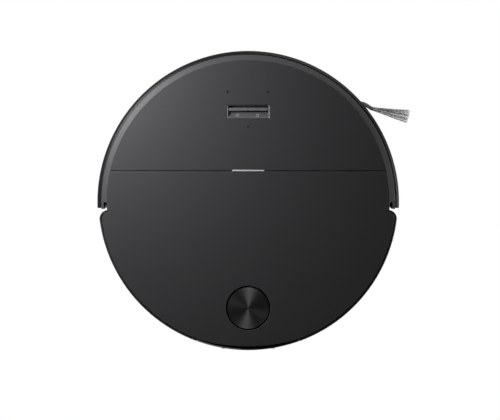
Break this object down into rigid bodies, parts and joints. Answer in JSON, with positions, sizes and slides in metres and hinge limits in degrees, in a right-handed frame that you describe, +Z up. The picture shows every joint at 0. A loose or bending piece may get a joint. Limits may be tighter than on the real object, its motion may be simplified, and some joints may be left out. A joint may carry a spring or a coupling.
{
  "type": "robot vacuum",
  "caption": "Low round robot floor cleaner with floating front bumper, lift-off lid over a dustbin, pop-up laser turret, sprung wheels and brushes.",
  "frame": {"origin": "bottom centre of the whole bounding box, on the floor that the wheels stand on; the body's own axis is 6.77 mm to the -X side, because the side brush overhangs on the right", "axes": "+Z up, +Y forwards (towards the bumper), +X to the robot's right"},
  "size_m": [0.3666, 0.35, 0.0798],
  "materials": {
    "base_black": "moulded, slightly rough underside plastic",
    "shell_black": "satin black moulded plastic",
    "lid_black": "satin black with a fine mould texture",
    "window_black": "glossy infrared-passing black",
    "bumper_black": "semi-gloss black",
    "key_grey": "dark grey, satin",
    "light_bar": "translucent light pipe, off",
    "turret_metal": "spun dark metallic finish",
    "inner_black": "plain moulded plastic",
    "inner_grey": "plain moulded plastic",
    "smoke_clear": "smoked clear plastic",
    "filter_paper": "pleated filter paper",
    "contact_metal": "plated contact",
    "steel": "zinc-plated steel",
    "magnet": "nickel-plated magnet",
    "board_green": "solder mask on glass-epoxy",
    "cell_blue": "shrink-wrapped cells",
    "seal_rubber": "soft seal",
    "tyre_rubber": "treaded tyre",
    "rim_grey": "moulded wheel hub",
    "caster_white": "hard white nylon",
    "fin_rubber": "soft rubber fins",
    "bristle": "nylon bristles",
    "sensor_dark": "infrared lens",
    "pinion_nylon": "acetal gear",
    "fan_grey": "glass-filled impeller"
  },
  "bodies": {
    "chassis": {"base_shell": "base_black", "mid_shell": "shell_black", "front_cover": "lid_black", "key_bezel": "shell_black", "indicator_light": "light_bar", "mic_boots": "seal_rubber", "rear_window": "window_black", "charge_contacts": "contact_metal", "bin_tray": "inner_black", "duct_seal": "seal_rubber", "brush_housing": "inner_black", "brush_guard": "base_black", "brush_gearbox": "inner_grey", "brush_motor": "steel", "battery_pack": "cell_blue", "battery_cover": "base_black", "main_board": "board_green", "fan_housing": "inner_grey", "fan_motor": "steel", "speaker": "inner_black", "wheel_bay_left": "inner_black", "wheel_bay_right": "inner_black", "return_springs": "steel", "caster_cup": "inner_black", "cliff_sensors": "sensor_dark", "front_sensor": "window_black", "bumper_switches": "inner_grey", "side_brush_motor": "steel", "turret_well": "inner_black", "lift_motor": "steel", "housing_screws": "steel"},
    "bumper": {"bumper_shell": "bumper_black", "bumper_band": "bumper_black", "bumper_window": "window_black"},
    "lid": {"lid_panel": "lid_black", "lid_magnets": "magnet"},
    "dust_bin": {"bin_body": "smoke_clear", "bin_cover": "inner_black", "filter_frame": "inner_grey", "filter_pleats": "filter_paper"},
    "turret": {"turret_cap": "turret_metal", "turret_frame": "inner_black"},
    "laser_head": {"lidar_head": "sensor_dark"},
    "lift_gear": {"lift_pinion": "pinion_nylon"},
    "fan": {"fan_impeller": "fan_grey"},
    "left_arm": {"wheel_arm_left": "inner_grey"},
    "right_arm": {"wheel_arm_right": "inner_grey"},
    "left_wheel": {"wheel_rim_left": "rim_grey", "tyre_left": "tyre_rubber"},
    "right_wheel": {"wheel_rim_right": "rim_grey", "tyre_right": "tyre_rubber"},
    "caster": {"caster_fork": "inner_black"},
    "caster_roller": {"caster_wheel": "caster_white"},
    "swing_arm": {"side_brush_arm": "base_black"},
    "side_brush": {"side_brush_hub": "inner_grey", "side_bristles": "bristle"},
    "roller": {"roller_core": "inner_grey", "roller_fins": "fin_rubber"},
    "power_button": {"power_key": "key_grey"},
    "dock_button": {"dock_key": "key_grey"}
  },
  "joints": [
    {"name": "bumper_press", "type": "slide", "parent": "chassis", "child": "bumper", "axis": [0, -1, 0], "range_m": [0, 0.0025], "stiffness_N_per_m": 800, "springref_m": -0.001},
    {"name": "lid_lift", "type": "slide", "parent": "chassis", "child": "lid", "axis": [0, 0, 1], "range_m": [0, 0.12]},
    {"name": "bin_lift", "type": "slide", "parent": "chassis", "child": "dust_bin", "axis": [0, 0, 1], "range_m": [0, 0.073]},
    {"name": "turret_lift", "type": "slide", "parent": "chassis", "child": "turret", "axis": [0, 0, 1], "range_m": [0, 0.018]},
    {"name": "laser_spin", "type": "hinge", "parent": "turret", "child": "laser_head", "pos_m": [-0.00677, -0.1257, 0.06], "axis": [0, 0, 1], "continuous": true},
    {"name": "lift_gear_turn", "type": "hinge", "parent": "chassis", "child": "lift_gear", "pos_m": [0.02843, -0.1257, 0.0505], "axis": [0, 1, 0], "range_deg": [0, 346]},
    {"name": "fan_spin", "type": "hinge", "parent": "chassis", "child": "fan", "pos_m": [-0.06877, -0.124, 0.05], "axis": [0, 0, 1], "continuous": true},
    {"name": "left_arm_drop", "type": "hinge", "parent": "chassis", "child": "left_arm", "pos_m": [-0.11227, 0.038, 0.044], "axis": [1, 0, 0], "range_deg": [0, 22], "stiffness_Nm_per_rad": 0.5, "springref_deg": 22.92},
    {"name": "left_wheel_spin", "type": "hinge", "parent": "left_arm", "child": "left_wheel", "pos_m": [-0.13527, -0.008, 0.034], "axis": [1, 0, 0], "continuous": true},
    {"name": "right_arm_drop", "type": "hinge", "parent": "chassis", "child": "right_arm", "pos_m": [0.09873, 0.038, 0.044], "axis": [1, 0, 0], "range_deg": [0, 22], "stiffness_Nm_per_rad": 0.5, "springref_deg": 22.92},
    {"name": "right_wheel_spin", "type": "hinge", "parent": "right_arm", "child": "right_wheel", "pos_m": [0.12173, -0.008, 0.034], "axis": [1, 0, 0], "continuous": true},
    {"name": "caster_swivel", "type": "hinge", "parent": "chassis", "child": "caster", "pos_m": [-0.00677, 0.128, 0.03], "axis": [0, 0, 1], "continuous": true},
    {"name": "caster_spin", "type": "hinge", "parent": "caster", "child": "caster_roller", "pos_m": [-0.00677, 0.123, 0.0135], "axis": [1, 0, 0], "continuous": true},
    {"name": "side_brush_swing", "type": "hinge", "parent": "chassis", "child": "swing_arm", "pos_m": [0.09323, 0.063, 0.015], "axis": [0, 0, 1], "range_deg": [-25, 0]},
    {"name": "side_brush_spin", "type": "hinge", "parent": "swing_arm", "child": "side_brush", "pos_m": [0.10123, 0.104, 0.007], "axis": [0, 0, 1], "continuous": true},
    {"name": "roller_spin", "type": "hinge", "parent": "chassis", "child": "roller", "pos_m": [-0.00677, 0.028, 0.0235], "axis": [1, 0, 0], "continuous": true},
    {"name": "power_key_press", "type": "slide", "parent": "chassis", "child": "power_button", "axis": [0, 0, -1], "range_m": [0, 0.0012], "stiffness_N_per_m": 300, "springref_m": -0.0003},
    {"name": "dock_key_press", "type": "slide", "parent": "chassis", "child": "dock_button", "axis": [0, 0, -1], "range_m": [0, 0.0012], "stiffness_N_per_m": 300, "springref_m": -0.0003}
  ],
  "couplings": [
    {"joint": "bin_lift", "follows": "lid_lift", "ratio": 0.6},
    {"joint": "lift_gear_turn", "follows": "turret_lift", "rad_per_m": 333.33}
  ]
}
